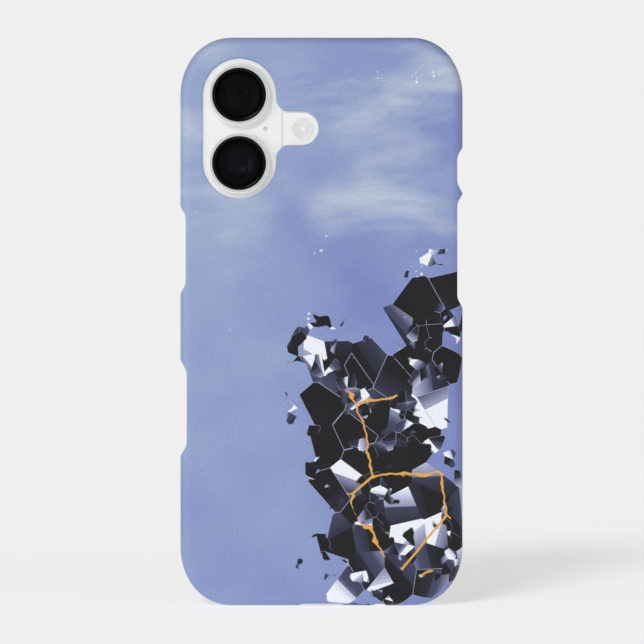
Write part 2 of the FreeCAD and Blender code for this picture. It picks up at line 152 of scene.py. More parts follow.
class StageSettings(bpy.types.PropertyGroup):
    """Floor, light and camera."""

    floor: colour_property("Floor", "Tone of the floor and of the backdrop", 239, 239, 239)
    distance: length_property("Distance", "Camera to the case", 800 * MM)
    view_width: length_property("View width", "Width that the camera shows at the case", 171.5 * MM)
    view_height: length_property("View height", "Height of the camera above the floor", 75.4 * MM)
    view_side: length_property("View side", "How far right of the middle it stands", 0.13 * MM)
    sun_turn: angle_property("Key turn", "How far left of the camera the key light stands", 23.0)
    sun_rise: angle_property("Key height", "How high the key light stands", 32.0)
    sun_width: angle_property("Key width", "Angle that the key light fills", 19.0)
    sun_strength: factor_property("Key strength", "Strength of the key light", 1.07, 10.0)
    shadow_strength: factor_property("Shadow", "Strength of the key light on the floor", 2.6, 10.0)
    floor_glow: factor_property("Floor glow", "Share of its tone that the floor gives off", 0.687)
    floor_matt: factor_property("Floor matt", "Share of its tone that the floor scatters", 0.45)


# ------ node graphs


class Graph:
    """Short calls that fill the emptied node tree of a material or world.

    A value may be a number, a tuple or a socket.
    """

    def __init__(self, owner):
        owner.use_nodes = True
        self.tree = owner.node_tree
        self.tree.nodes.clear()

    def node(self, kind, inputs=None, **settings):
        made = self.tree.nodes.new(kind)
        for key, value in settings.items():
            setattr(made, key, value)
        for key, value in (inputs or {}).items():
            self.feed(made.inputs[key], value)
        return made

    def feed(self, socket, value):
        if isinstance(value, bpy.types.NodeSocket):
            self.tree.links.new(value, socket)
        else:
            socket.default_value = value

    def math(self, operation, a, b=0.0):
        return self.node("ShaderNodeMath", {0: a, 1: b}, operation=operation).outputs[0]

    def minus(self, a, b):
        return self.math("SUBTRACT", a, b)

    def chain(self, operation, values):
        result = values[0]
        for value in values[1:]:
            result = self.math(operation, result, value)
        return result

    def add(self, *values):
        return self.chain("ADD", values)

    def times(self, *values):
        return self.chain("MULTIPLY", values)

    def length(self, a, b):
        """Length of a vector with the parts a and b."""
        return self.math("SQRT", self.add(self.times(a, a), self.times(b, b)))

    def vector(self, operation, a, b=(0, 0, 0), scale=1.0):
        made = self.node("ShaderNodeVectorMath", {0: a, 1: b, 3: scale}, operation=operation)
        return made.outputs["Vector"]

    def dot(self, a, b):
        made = self.node("ShaderNodeVectorMath", {0: a, 1: b}, operation="DOT_PRODUCT")
        return made.outputs["Value"]

    def split(self, vector):
        return self.node("ShaderNodeSeparateXYZ", {0: vector}).outputs

    def join(self, x, y, z=0.0):
        return self.node("ShaderNodeCombineXYZ", {0: x, 1: y, 2: z}).outputs[0]

    def smooth(self, value, low, high, start=0.0, stop=1.0):
        """Runs smoothly from start to stop as value goes from low to high."""
        inputs = {"Value": value, "From Min": low, "From Max": high, "To Min": start, "To Max": stop}
        made = self.node("ShaderNodeMapRange", inputs, interpolation_type="SMOOTHSTEP")
        return made.outputs["Result"]

    def drift(self, noise, start=0.0, stop=1.0):
        """Drifts from start to stop with a noise."""
        return self.smooth(noise, *NOISE_SPAN, start, stop)

    def mix(self, factor, a, b, blend="MIX"):
        """Mix of two colours."""
        made = self.node("ShaderNodeMix", {0: factor, 6: a, 7: b}, data_type="RGBA", blend_type=blend)
        return made.outputs[2]

    def tint(self, factor, colour, first, second):
        """Mix of two strengths of one colour."""
        return self.mix(factor, rgba(colour, first), rgba(colour, second))

    def ramp(self, value, stops):
        """Colour of value along (position, colour) stops."""
        made = self.node("ShaderNodeValToRGB", {0: value})
        while len(made.color_ramp.elements) < len(stops):
            made.color_ramp.elements.new(1.0)
        for element, (position, colour) in zip(made.color_ramp.elements, stops):
            element.position = position
            element.color = colour
        return made.outputs[0]

    def noise(self, vector, scale=1.0, detail=2.0, roughness=0.5, distortion=0.0):
        inputs = {"Vector": vector, "Scale": scale, "Detail": detail}
        inputs.update(Roughness=roughness, Distortion=distortion)
        return self.node("ShaderNodeTexNoise", inputs).outputs[0]

    def cells(self, vector, feature="F1"):
        inputs = {"Vector": vector, "Scale": 1.0}
        return self.node(
            "ShaderNodeTexVoronoi", inputs, voronoi_dimensions="2D", feature=feature
        ).outputs

    def place(self):
        """Position on the object in millimetres."""
        spot = self.node("ShaderNodeTexCoord").outputs["Object"]
        return self.vector("SCALE", spot, scale=1 / MM)

    def bump(self, height, distance, strength):
        """Normal of a relief; distance in millimetres."""
        inputs = {"Height": height, "Distance": distance * MM, "Strength": strength}
        return self.node("ShaderNodeBump", inputs).outputs[0]


class Surface(Graph):
    """New material with one Principled shader; sockets give constants by name."""

    def __init__(self, name, **sockets):
        self.made = bpy.data.materials.new(name)
        super().__init__(self.made)
        self.shader = self.node("ShaderNodeBsdfPrincipled")
        self.node("ShaderNodeOutputMaterial", {"Surface": self.shader.outputs[0]})
        for key, value in sockets.items():
            key = key.replace("_", " ").title().replace("Ior", "IOR")
            self.shader.inputs[key].default_value = value

    def finish(self, colour, roughness, normal=None):
        """Feeds what varies, and gives the material."""
        self.feed(self.shader.inputs["Base Color"], colour)
        self.feed(self.shader.inputs["Roughness"], roughness)
        if normal is not None:
            self.feed(self.shader.inputs["Normal"], normal)
        return self.made


def finish_slot(slot, made):
    """Gives every CAD node of a material slot its finish."""
    found = 0
    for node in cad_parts.values():
        for holder in node.material_slots:
            if holder.material and holder.material.name.split(".")[0] == slot:
                holder.material = made
                found += 1
    if not found:
        raise RuntimeError("no CAD node has the slot " + slot)


def centre(node):
    """Middle of a CAD node's box."""
    low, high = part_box(node)
    return (low + high) / 2


def half_width(node):
    """Radius of a round CAD node."""
    low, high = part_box(node)
    return (high.x - low.x) / 2


def beyond(g, value, limit):
    """How far value lies beyond limit on either side of zero."""
    return g.math("MAXIMUM", g.minus(g.math("ABSOLUTE", value), limit), 0.0)


def axis_distance(g, node):
    """Distance from the axis of a round CAD node, in millimetres."""
    x, _, z = g.split(g.place())
    middle = centre(node)
    away_x = g.minus(x, middle.x / MM)
    away_z = g.minus(z, middle.z / MM)
    return g.length(away_x, away_z)


# ------ the print


def wall_direction(g, x, z):
    """Unit vector towards the nearest side wall, and zero over the middle of the back."""
    low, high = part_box("case_shell")
    middle_z = (low.z + high.z) / 2 / MM
    half_x = high.x / MM
    half_z = middle_z  # the case stands on zero
    reach = 16.0  # from a wall to where the middle begins, in millimetres
    parts = []
    for value, half in ((x, half_x), (g.minus(z, middle_z), half_z)):
        parts.append(g.times(g.math("SIGN", value), beyond(g, value, half - reach)))
    return g.vector("NORMALIZE", g.join(parts[0], 0.0, parts[1]))


def clouds(g, v, sheet):
    """How far soft slanting clouds cover the sky: most at the top, hardly below."""
    slant, length, width, bank = math.radians(-34), 48, 19, 34
    slanted = g.node(
        "ShaderNodeMapping",
        {"Vector": sheet, "Rotation": (0, 0, slant), "Scale": (1 / length, 1 / width, 1)},
    ).outputs[0]
    finer = g.vector("MULTIPLY", slanted, (1.6, 3.0, 1.0))
    elsewhere = g.vector("ADD", sheet, (31, 7, 0))
    streaks = g.noise(slanted, detail=6.0, roughness=0.54, distortion=0.6)
    wisps = g.noise(finer, detail=4.0, distortion=0.6)
    banks = g.noise(elsewhere, scale=1 / bank)
    streak_span, wisp_span, bank_span = (0.42, 0.74), (0.46, 0.78), (0.36, 0.58)
    streak_share, wisp_share = 0.78, 0.22
    veil = g.add(
        g.smooth(streaks, *streak_span, 0.0, streak_share),
        g.smooth(wisps, *wisp_span, 0.0, wisp_share),
    )
    thin_below, full_above, least = 72.0, 112.0, 0.12
    height = g.smooth(v, thin_below, full_above, least, 1.0)
    return g.times(veil, g.smooth(banks, *bank_span), height)


def sky(g, settings, u, v, sheet):
    """Misty sky: a tone that drifts across the case, with clouds over it."""
    broad_size, fine_size = 58, 15
    broad = g.noise(sheet, scale=1 / broad_size, roughness=0.45)
    fine = g.noise(sheet, scale=1 / fine_size, detail=4.0, roughness=0.55)
    sideways, upwards, broad_share, fine_share, offset = 0.0062, -0.0012, 1.05, 0.34, -0.13
    tone = g.add(
        g.times(u, sideways),
        g.times(v, upwards),
        g.times(broad, broad_share),
        g.times(fine, fine_share),
        offset,
    )
    stops = ((0.22, rgba(settings.pale)), (0.52, rgba(settings.middle)), (0.86, rgba(settings.deep)))
    return g.mix(clouds(g, v, sheet), g.ramp(tone, stops), rgba(settings.cloud))


def droplets(g, sheet):
    """How far small bright drops cover the sky; they keep to a few flocks."""
    pitch, flock, bare_share, strength = 1.5, 16, 0.66, 0.75
    drops = g.cells(g.vector("SCALE", sheet, scale=1 / pitch))
    chance, girth, _ = g.split(drops["Color"])
    present = g.math("GREATER_THAN", chance, bare_share)
    flocks = g.noise(g.vector("ADD", sheet, (90, 14, 0)), scale=1 / flock, detail=1.0)
    smallest, spread = 0.05, 0.26
    rim, flock_span = (0.05, -0.03), (0.66, 0.72)
    reach = g.add(smallest, g.times(girth, spread))
    near = g.smooth(g.minus(drops["Distance"], reach), *rim)
    return g.times(near, present, g.smooth(flocks, *flock_span), strength)


def in_region(g, spot, middle, half_across, half_along, lean):
    """Above zero for a point inside a leaning oval, in millimetres."""
    away = g.vector("SUBTRACT", spot, (middle[0], middle[1], 0))
    c = math.cos(lean)
    s = math.sin(lean)
    across = g.dot(away, (c / half_across, s / half_across, 0))
    along = g.dot(away, (-s / half_along, c / half_along, 0))
    squared = g.add(g.times(across, across), g.times(along, along))
    return g.minus(1.0, squared)


def facets(g, settings, sheet, size, regions, scatter):
    """Layer of crystal facets: how far it covers, and its colour."""
    spot = g.vector("SCALE", sheet, scale=1 / size)
    cell = g.cells(spot)
    border = g.cells(spot, "DISTANCE_TO_EDGE")["Distance"]
    middle = g.vector("SCALE", cell["Position"], scale=size)
    chance, other, third = g.split(cell["Color"])
    inside = None
    for region in regions:
        value = in_region(g, middle, *region)
        inside = value if inside is None else g.math("MAXIMUM", inside, value)
    inside = g.add(inside, g.times(g.minus(third, 0.5), scatter))
    cover = g.math("GREATER_THAN", inside, 0.0)
    turn = g.times(other, math.tau)
    lean = g.join(g.math("COSINE", turn), g.math("SINE", turn))
    side = g.dot(g.vector("SUBTRACT", spot, cell["Position"]), lean)
    fold, fold_step, slope = 0.05, 0.13, 0.22  # where a facet folds, and how its tone changes
    folded = g.math("GREATER_THAN", side, fold)
    level = g.add(chance, g.times(folded, fold_step), g.times(side, slope))
    squeeze = 0.94  # a ramp ends at one
    stops = (
        (0.00, rgba(settings.crystal_dark)),
        (0.56, rgba(settings.crystal_dark, 1.7)),
        (0.70, rgba(settings.crystal_slate, 0.4)),
        (0.84, rgba(settings.crystal_slate)),
        (0.97, rgba(settings.crystal_silver)),
        (1.08, rgba(settings.crystal_white)),
    )
    colour = g.ramp(g.times(level, squeeze), [(p * squeeze, c) for p, c in stops])
    seam_outer, seam_inner, bare_share, strength = 0.026, 0.012, 0.62, 0.75
    has_seam = g.math("GREATER_THAN", other, bare_share)
    seam = g.times(g.smooth(border, seam_outer, seam_inner), has_seam, strength)
    return cover, g.mix(seam, colour, rgba(settings.crystal_silver))


def crystal(g, settings, sheet, colour):
    """Lays the crystal over colour: its large facets, and the splinters round them."""
    size = settings.facet / MM
    # middle, half width, half length and lean of the ovals that it fills
    ovals = (
        ((15.0, 38.0), 15.0, 36.0, math.radians(24)),
        ((27.0, 66.0), 8.0, 24.0, math.radians(-14)),
        ((24.0, 16.0), 22.0, 17.0, 0.0),
    )
    cover, facet = facets(g, settings, sheet, size, ovals, scatter=0.35)
    colour = g.mix(cover, colour, facet)
    wider, longer, smaller = 1.12, 1.10, 0.40
    around = tuple((m, w * wider, h * longer, t) for m, w, h, t in ovals)
    cover, facet = facets(g, settings, sheet, size * smaller, around, scatter=1.7)
    patch, patch_span = 10, (0.53, 0.55)
    patches = g.smooth(g.noise(sheet, scale=1 / patch), *patch_span)
    return g.mix(g.times(cover, patches), colour, facet)


def veins(g, sheet):
    """How far golden veins cover the heart of the crystal."""
    wave, wave_height, pitch, rim = 6, 5.0, 21, (0.020, 0.008)
    heart = ((19.0, 34.0), 13.0, 27.0, 0.35)
    ripple = g.noise(sheet, scale=1 / wave)
    bend = g.times(g.minus(ripple, 0.5), wave_height)
    bent = g.vector("ADD", g.vector("ADD", sheet, (11, 3, 0)), g.join(bend, bend))
    vein = g.cells(g.vector("SCALE", bent, scale=1 / pitch), "DISTANCE_TO_EDGE")["Distance"]
    within = g.math("GREATER_THAN", in_region(g, sheet, *heart), 0.0)
    return g.times(g.smooth(vein, *rim), within)


def print_colour(g, settings, u, v):
    """The whole picture over the flattened case: sky, droplets, crystal, veins and grain."""
    sheet = g.join(u, v)
    colour = sky(g, settings, u, v, sheet)
    colour = g.mix(droplets(g, sheet), colour, rgba(settings.crystal_white))
    colour = crystal(g, settings, sheet, colour)
    colour = g.mix(veins(g, sheet), colour, rgba(settings.vein))
    speck, gain = 0.30, 4
    speckle = g.noise(sheet, scale=1 / speck, detail=1.0, roughness=0.6)
    lift = g.add(1.0, g.times(g.minus(speckle, 0.5), settings.grain * gain))
    shade = g.node("ShaderNodeCombineColor", {0: lift, 1: lift, 2: lift}).outputs[0]
    return g.mix(1.0, colour, shade, "MULTIPLY")


def case_plastic(settings):
    """Satin hard plastic, printed outside and bare inside."""
    g = Surface("printed_case", specular_ior_level=0.32)
    spot = g.place()
    x, y, z = g.split(spot)
    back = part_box("case_shell")[0].y / MM
    direction = wall_direction(g, x, z)
    normal = g.node("ShaderNodeNewGeometry").outputs["Normal"]
    round_side = g.dot(normal, direction)
    facing_back = g.dot(normal, (0, -1, 0))
    bare_below, printed_above = 0.25, 0.45  # facing of the surface
    deepest = 0.9  # print on faces turned to the back, in millimetres
    on_side = g.smooth(round_side, bare_below, printed_above)
    on_back = g.smooth(facing_back, bare_below, printed_above)
    on_back = g.times(on_back, g.math("LESS_THAN", y, back + deepest))
    printed = g.math("MAXIMUM", on_side, on_back)
    depth = g.math("MAXIMUM", g.minus(y, back), 0.0)
    turn_x, _, turn_z = g.split(direction)
    u = g.add(x, g.times(turn_x, depth))
    v = g.add(z, g.times(turn_z, depth))
    colour = g.mix(printed, rgba(settings.inside), print_colour(g, settings, u, v))
    pores = g.noise(spot, scale=7.0, roughness=0.6)
    relief = g.bump(pores, distance=0.006, strength=0.5)
    return g.finish(colour, g.drift(pores, 0.40, 0.50), relief)


# ------ phone finishes


def anodised(name, colour, roughness):
    """Bead-blasted, anodised metal."""
    g = Surface(name, metallic=1.0)
    spot = g.place()
    grit = g.noise(spot, scale=22.0, roughness=0.7)
    cast = g.noise(spot, scale=0.2)
    tone = g.tint(g.drift(cast), colour, 0.95, 1.0)
    relief = g.bump(grit, distance=0.003, strength=0.4)
    return g.finish(tone, g.drift(grit, roughness - 0.04, roughness + 0.05), relief)


def white_glass(settings):
    """Colour-infused glass: milky body under a clear, softly glossy face."""
    g = Surface("white_rear_glass", coat_weight=0.35, coat_roughness=0.12, specular_ior_level=0.4)
    spot = g.place()
    cast = g.noise(spot, scale=0.12)
    haze = g.noise(spot, scale=3.0, detail=3.0)
    tone = g.tint(g.drift(cast), settings.glass, 0.985, 1.0)
    return g.finish(tone, g.drift(haze, 0.30, 0.38))


def polished_glass(settings):
    """Polished glass of the camera control's inlay."""
    g = Surface("polished_inlay", specular_ior_level=0.6, coat_weight=0.5)
    haze = g.noise(g.place(), scale=2.0)
    tone = g.tint(haze, settings.glass, 0.8, 0.9)
    return g.finish(tone, g.drift(haze, 0.08, 0.14))


def ring_finish(settings):
    """Satin metal of the bare rims, with the finest turning marks round each lens."""
    g = Surface("lens_ring", specular_ior_level=0.4, metallic=0.25)
    radii = [axis_distance(g, lens + "cover") for lens in (UPPER, LOWER)]
    radius = g.math("MINIMUM", *radii)
    fineness = 30.0
    marks = g.noise(g.join(g.times(radius, fineness), 0.0))
    tone = g.tint(marks, settings.ring, 0.94, 1.03)
    return g.finish(tone, g.drift(marks, 0.42, 0.52))


def screen_finish(settings):
    """Black glass over a display that is off."""
    g = Surface("screen_glass", specular_ior_level=0.5, ior=1.5)
    low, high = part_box("screen")
    spot = g.place()
    x, _, z = g.split(spot)
    middle_z = (low.z + high.z) / 2 / MM
    half_x = (high.x - settings.border) / MM
    half_z = (high.z - low.z) / 2 / MM - settings.border / MM
    corner, soft = 9.0, 0.05  # of the display, in millimetres
    past_x = beyond(g, x, half_x - corner)
    past_z = beyond(g, g.minus(z, middle_z), half_z - corner)
    inside = g.smooth(g.length(past_x, past_z), corner + soft, corner - soft)
    shade = g.noise(spot, scale=0.03)
    display = g.tint(g.drift(shade), settings.display, 0.8, 1.2)
    wiped = g.noise(spot, scale=0.08, detail=4.0, roughness=0.6)
    tone = g.mix(inside, rgba(settings.bezel), display)
    wiped_span, clean, smeared = (0.35, 0.75), 0.03, 0.09
    return g.finish(tone, g.smooth(wiped, *wiped_span, clean, smeared))


def clear_glass(name, ior):
    """Clear glass with the faintest unevenness."""
    g = Surface(name, transmission_weight=1.0, ior=ior)
    haze = g.noise(g.place(), scale=0.6)
    return g.finish(rgba((1, 1, 1)), g.drift(haze, 0.0, 0.01))


def coated_glass(name, coating, roughness):
    """Dark lens glass whose coating tints what it mirrors."""
    g = Surface(name, ior=1.45, specular_ior_level=0.5, specular_tint=rgba(coating))
    haze = g.noise(g.place(), scale=0.8)
    tone = g.mix(haze, rgba(paint(3, 4, 5)), rgba(paint(6, 7, 8)))
    return g.finish(tone, g.drift(haze, roughness, roughness + 0.03))


def flat_black(name, level, roughness, shine=0.25):
    """Matt black paint or plastic with a fine tooth."""
    g = Surface(name, specular_ior_level=shine)
    tooth = g.noise(g.place(), scale=18.0, detail=3.0, roughness=0.6)
    dark = paint(level, level, level + 1)
    tone = g.tint(tooth, dark, 0.8, 1.3)
    relief = g.bump(tooth, distance=0.004, strength=0.5)
    return g.finish(tone, g.drift(tooth, roughness - 0.05, roughness + 0.08), relief)


def woven_mesh(name):
    """Fine woven steel mesh; the openings between its wires are painted shade."""
    g = Surface(name, metallic=0.6)
    x, _, z = g.split(g.place())
    pitch = 0.16
    tone_span, rough_span, rough_gap, rough_wire = (-0.3, 0.9), (-0.5, 1.0), 0.6, 0.35
    warp = g.math("SINE", g.times(x, math.tau / pitch))
    weft = g.math("SINE", g.times(z, math.tau / pitch))
    weave = g.math("MAXIMUM", warp, weft)
    # near black between the wires: painted shade of the openings, lighter on the wires
    tone = g.mix(g.smooth(weave, *tone_span), rgba(paint(5, 5, 6)), rgba(paint(88, 88, 90)))
    relief = g.bump(weave, distance=0.03, strength=0.8)
    return g.finish(tone, g.smooth(weave, *rough_span, rough_gap, rough_wire), relief)


def brushed_steel(name, colour, roughness, fineness):
    """Drawn metal; its lines run along the axis of least fineness."""
    g = Surface(name, metallic=1.0)
    lines = g.noise(g.vector("MULTIPLY", g.place(), fineness), detail=3.0, roughness=0.6)
    tone = g.tint(lines, colour, 0.8, 1.1)
    relief = g.bump(lines, distance=0.004, strength=0.4)
    return g.finish(tone, g.drift(lines, roughness - 0.06, roughness + 0.08), relief)


def flash_frost_painted_light(settings):
    """Frosted lens of the flash, with a painted shade ring round a warm middle that is partly the
    emitter's colour and partly a painted highlight.
    """
    g = Surface("flash_frost_painted_light", specular_ior_level=0.3)
    radius = axis_distance(g, "flash_lens")
    haze = g.noise(g.place(), scale=0.9)
    shade_ring_outer, shade_ring_inner, shade_ring_share = 1.5, 0.9, 0.6
    warm_glint_outer, warm_glint_inner = 0.75, 0.2
    milk = g.tint(g.smooth(haze, 0.35, 0.65), settings.frost, 0.94, 1.03)
    # painted shade: a darker ring of frost round the middle of the lens
    in_painted_shade_ring = g.smooth(radius, shade_ring_outer, shade_ring_inner, 0.0, shade_ring_share)
    shaded_milk = g.mix(in_painted_shade_ring, milk, rgba(settings.frost, 0.92))
    # warm middle: the emitter's colour seen through the frost, brightened as a painted highlight
    tone = g.mix(g.smooth(radius, warm_glint_outer, warm_glint_inner), shaded_milk, rgba(settings.emitter))
    return g.finish(tone, g.drift(haze, 0.3, 0.4))


def satin_plastic(name, colour):
    """Plain moulded plastic with a satin face."""
    g = Surface(name, specular_ior_level=0.35)
    haze = g.noise(g.place(), scale=2.0)
    tone = g.tint(haze, colour, 0.97, 1.02)
    return g.finish(tone, g.drift(haze, 0.38, 0.48))


def phosphor(settings):
    """Granular phosphor of the flash emitters."""
    g = Surface("flash_phosphor", specular_ior_level=0.2)
    grain = g.noise(g.place(), scale=12.0)
    tone = g.tint(grain, settings.emitter, 0.85, 1.0)
    return g.finish(tone, g.drift(grain, 0.5, 0.7))


# ------ shapes


def ring_of(bm, middle, radius, y, count, sides=None):
    """Circle of vertices round a lens axis; sides flattens it to a polygon."""
    made = []
    for i in range(count):
        a = math.tau * i / count
        r = radius
        if sides:
            part = math.tau / sides
            r = radius * math.cos(part / 2) / math.cos((a % part) - part / 2)
        made.append(bm.verts.new((middle.x + r * math.cos(a), y, middle.z + r * math.sin(a))))
    return made


def bridge(bm, first, second):
    """Faces between two circles of the same count."""
    count = len(first)
    for i in range(count):
        j = (i + 1) % count
        bm.faces.new((first[i], first[j], second[j], second[i]))


def turned(bm, middle, profile, count=96):
    """Solid of revolution about a lens axis; profile is (radius, y), radius 0 ends on the axis."""
    on_axis = 1e-7
    rows = []
    for radius, y in profile:
        if radius < on_axis:
            rows.append([bm.verts.new((middle.x, y, middle.z))])
        else:
            rows.append(ring_of(bm, middle, radius, y, count))
    pairs = list(zip(rows, rows[1:]))
    if len(rows[0]) > 1 and len(rows[-1]) > 1:
        pairs.append((rows[-1], rows[0]))
    for first, second in pairs:
        short, row = sorted((first, second), key=len)
        if len(short) == 1:
            for i in range(len(row)):
                bm.faces.new((short[0], row[i], row[(i + 1) % len(row)]))
        else:
            bridge(bm, first, second)


def washer(inner, outer, top, bottom):
    """Profile of a flat ring, or of a disc where inner is zero."""
    return (inner, top), (outer, top), (outer, bottom), (inner, bottom)


def rounded_bar(bm, low, high, round_by, segments=3):
    """Box between two corners with rounded edges."""
    made = bmesh.ops.create_cube(bm, size=1.0)
    bmesh.ops.scale(bm, vec=high - low, verts=made["verts"])
    bmesh.ops.translate(bm, vec=(low + high) / 2, verts=made["verts"])
    edges = {edge for vert in made["verts"] for edge in vert.link_edges}
    bmesh.ops.bevel(
        bm, geom=list(edges), offset=round_by, segments=segments, profile=0.5, affect="EDGES"
    )


def new_object(name, data):
    made = bpy.data.objects.new(name, data)
    bpy.context.scene.collection.objects.link(made)
    return made


def mesh_object(name, bm, made):
    """New object with the faces of a bmesh and one material."""
    mesh = bpy.data.meshes.new(name)
    bm.to_mesh(mesh)
    bm.free()
    mesh.materials.append(made)
    return new_object(name, mesh)


def finish_piece(name, bm, made, replaces=()):
    """Turns a bmesh into a piece that rides on the phone."""
    crease = math.radians(32)
    bmesh.ops.recalc_face_normals(bm, faces=bm.faces)
    piece = mesh_object(name, bm, made)
    piece.data.shade_smooth()
    piece.data.set_sharp_from_angle(angle=crease)
    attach(piece, BODY)
    if replaces:
        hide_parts(*replaces)


def turned_piece(name, middle, profile, made, replaces=(), count=96):
    """Piece that is one solid of revolution."""
    bm = bmesh.new()
    turned(bm, middle, profile, count)
    finish_piece(name, bm, made, replaces)


# ------ pieces


def lens_cover(lens, glass):
    """Cover glass with a polished chamfer, standing for the plain CAD disc."""
    node = lens + "cover"
    low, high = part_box(node)
    radius = half_width(node)
    chamfer = 0.14 * MM
    # in from the rim and down from the face, in chamfers; the first two keep the face flat
    edge = ((2.6, 0.0), (2.0, 0.0), (1.0, 0.15), (0.3, 0.6), (0.0, 1.4))
    profile = [(0.0, low.y)]
    profile += [(radius - inward * chamfer, low.y + down * chamfer) for inward, down in edge]
    profile += [(radius, high.y), (0.0, high.y)]
    turned_piece(lens + "window", centre(node), profile, glass, (node,), count=128)


def lens_border(lens, ink):
    """Black border printed on the rear face of the cover."""
    node = lens + "cover"
    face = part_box(node)[1].y - 0.035 * MM
    margin = 0.02 * MM
    overlap = 0.9 * MM
    thick = 0.02 * MM
    outer = half_width(node) - margin
    inner = half_width(lens + "barrel") - overlap
    profile = washer(inner, outer, face, face + thick)
    turned_piece(lens + "border", centre(node), profile, ink, count=128)


def lens_baffles(lens, ribs, black):
    """Fine ribs on the steps of the barrel that catch stray light."""
    node = lens + "barrel"
    wall = half_width(node)
    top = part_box(node)[0].y
    # each step's slope, in millimetres: in from the wall and down from the top, at both its ends
    slopes = (
        (0.94, 0.08, 1.36, 0.82),
        (1.60, 0.94, 2.30, 1.08),
        (2.46, 1.25, 3.14, 2.80),
    )
    rib = 0.07 * MM
    bm = bmesh.new()
    for first_in, first_down, second_in, second_down in slopes:
        for i in range(ribs):
            t = (i + 0.5) / ribs
            r = wall - (first_in + (second_in - first_in) * t) * MM
            y = top + (first_down + (second_down - first_down) * t) * MM
            profile = ((r + rib, y - rib / 2), (r - rib, y), (r + rib, y + rib / 2))
            turned(bm, centre(node), profile, count=72)
    finish_piece(lens + "baffles", bm, black)


def lens_iris(lens, blades, black):
    """Iris just above the front element."""
    node = lens + "element"
    middle = centre(node)
    outer = half_width(node)
    opening = outer * 0.62
    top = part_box(node)[0].y - 0.12 * MM
    bottom = top + 0.05 * MM
    per_blade = 12
    count = blades * per_blade
    bm = bmesh.new()
    rows = [
        ring_of(bm, middle, outer, top, count),
        ring_of(bm, middle, opening, top, count, blades),
        ring_of(bm, middle, opening, bottom, count, blades),
        ring_of(bm, middle, outer, bottom, count),
    ]
    for first, second in zip(rows, rows[1:] + rows[:1]):
        bridge(bm, first, second)
    finish_piece(lens + "iris", bm, black)


def arc(radius, bend, steps):
    """Points on a sphere of radius bend: out from the axis, and height over its middle."""
    spots = [radius * i / steps for i in range(steps + 1)]
    return [(r, math.sqrt(bend * bend - r * r)) for r in spots]


def lens_hollow(lens, glass):
    """Hollow-faced glass on the barrel's ledge, which mirrors the light on its far side."""
    node = lens + "barrel"
    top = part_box(node)[0].y
    radius = half_width(node) - 2.5 * MM
    flange = radius + 1.0 * MM
    rim = top + 0.42 * MM
    ledge = top + 0.88 * MM
    thick = 0.12 * MM
    bend = 6.5 * MM
    points = arc(radius, bend, 16)
    sphere = rim - points[-1][1]
    face = [(r, sphere + height) for r, height in points]
    back = [(r, y + thick) for r, y in reversed(face)]
    profile = face + [(flange, rim), (flange, ledge), (radius + thick, ledge)] + back
    turned_piece(lens + "hollow_glass", centre(node), profile, glass)


def lens_dome(lens, glass):
    """Small domed glass in the middle of the iris."""
    node = lens + "element"
    radius = 1.25 * MM
    bend = 2.4 * MM
    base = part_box(node)[0].y - 0.25 * MM
    thick = 0.1 * MM
    points = arc(radius, bend, 14)
    sphere = base + points[-1][1]
    profile = [(r, sphere - height) for r, height in points]
    profile += [(radius, base + thick), (0.0, base + thick)]
    turned_piece(lens + "dome", centre(node), profile, glass)


def lens_gasket(lens, rubber):
    """Flat sealing ring along the edge of the cover; its inner chamfer catches the light."""
    node = lens + "cover"
    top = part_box(node)[0].y
    outer = half_width(node)
    inner = outer - 0.70 * MM
    chamfer = 0.13 * MM
    face = top - 0.055 * MM
    foot = top + 0.03 * MM
    profile = ((inner, foot), (inner, top), (inner + chamfer, face), (outer, face), (outer, foot))
    turned_piece(lens + "gasket", centre(node), profile, rubber, count=128)


def flash_lens(frost):
    """Dished, frosted flash lens with fine concentric ridges and a small dome in the middle."""
    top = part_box("flash_lens")[0].y
    radius = half_width("flash_lens")
    lip = top + 0.02 * MM
    foot = top + 0.55 * MM
    dish = 0.30 * MM
    dome = 0.45 * MM
    dome_height = 0.10 * MM
    dome_steps = 6
    profile = []
    for i in range(dome_steps + 1):
        r = dome * i / dome_steps
        profile.append((r, lip + dish - dome_height * (1 - (r / dome) ** 2)))
    ridges = 8
    groove = 0.025 * MM
    groove_at = 0.25  # of a ridge's width
    width = (radius - dome) / ridges
    for i in range(ridges):
        for r, sunk in ((dome + width * (i + groove_at), groove), (dome + width * (i + 1), 0.0)):
            profile.append((r, lip + dish * (1 - (r / radius) ** 2) + sunk))
    profile += [(radius, foot), (0.0, foot)]
    node = "flash_lens"
    turned_piece("flash_fresnel", centre(node), profile, frost, (node,))


def flash_emitters(glow, tray):
    """Two phosphor squares on a white tray behind the flash lens."""
    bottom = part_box("flash_lens")[1].y
    middle = centre("flash_lens")
    radius = half_width("flash_lens")
    flat = radius * 0.55
    outer = radius * 0.97
    floor_y = bottom - 0.2 * MM
    rim = floor_y - 0.15 * MM
    profile = ((0.0, floor_y), (flat, floor_y), (outer, rim), (outer, bottom), (0.0, bottom))
    turned_piece("flash_tray", middle, profile, tray, count=72)
    half = 0.42 * MM
    apart = 0.5 * MM
    rise = 0.12 * MM
    sunk = 0.02 * MM
    bm = bmesh.new()
    for side in (-1, 1):
        x = middle.x + side * apart
        low = Vector((x - half, floor_y - rise, middle.z - half))
        high = Vector((x + half, floor_y + sunk, middle.z + half))
        rounded_bar(bm, low, high, round_by=0.05 * MM)
    finish_piece("flash_emitters", bm, glow)


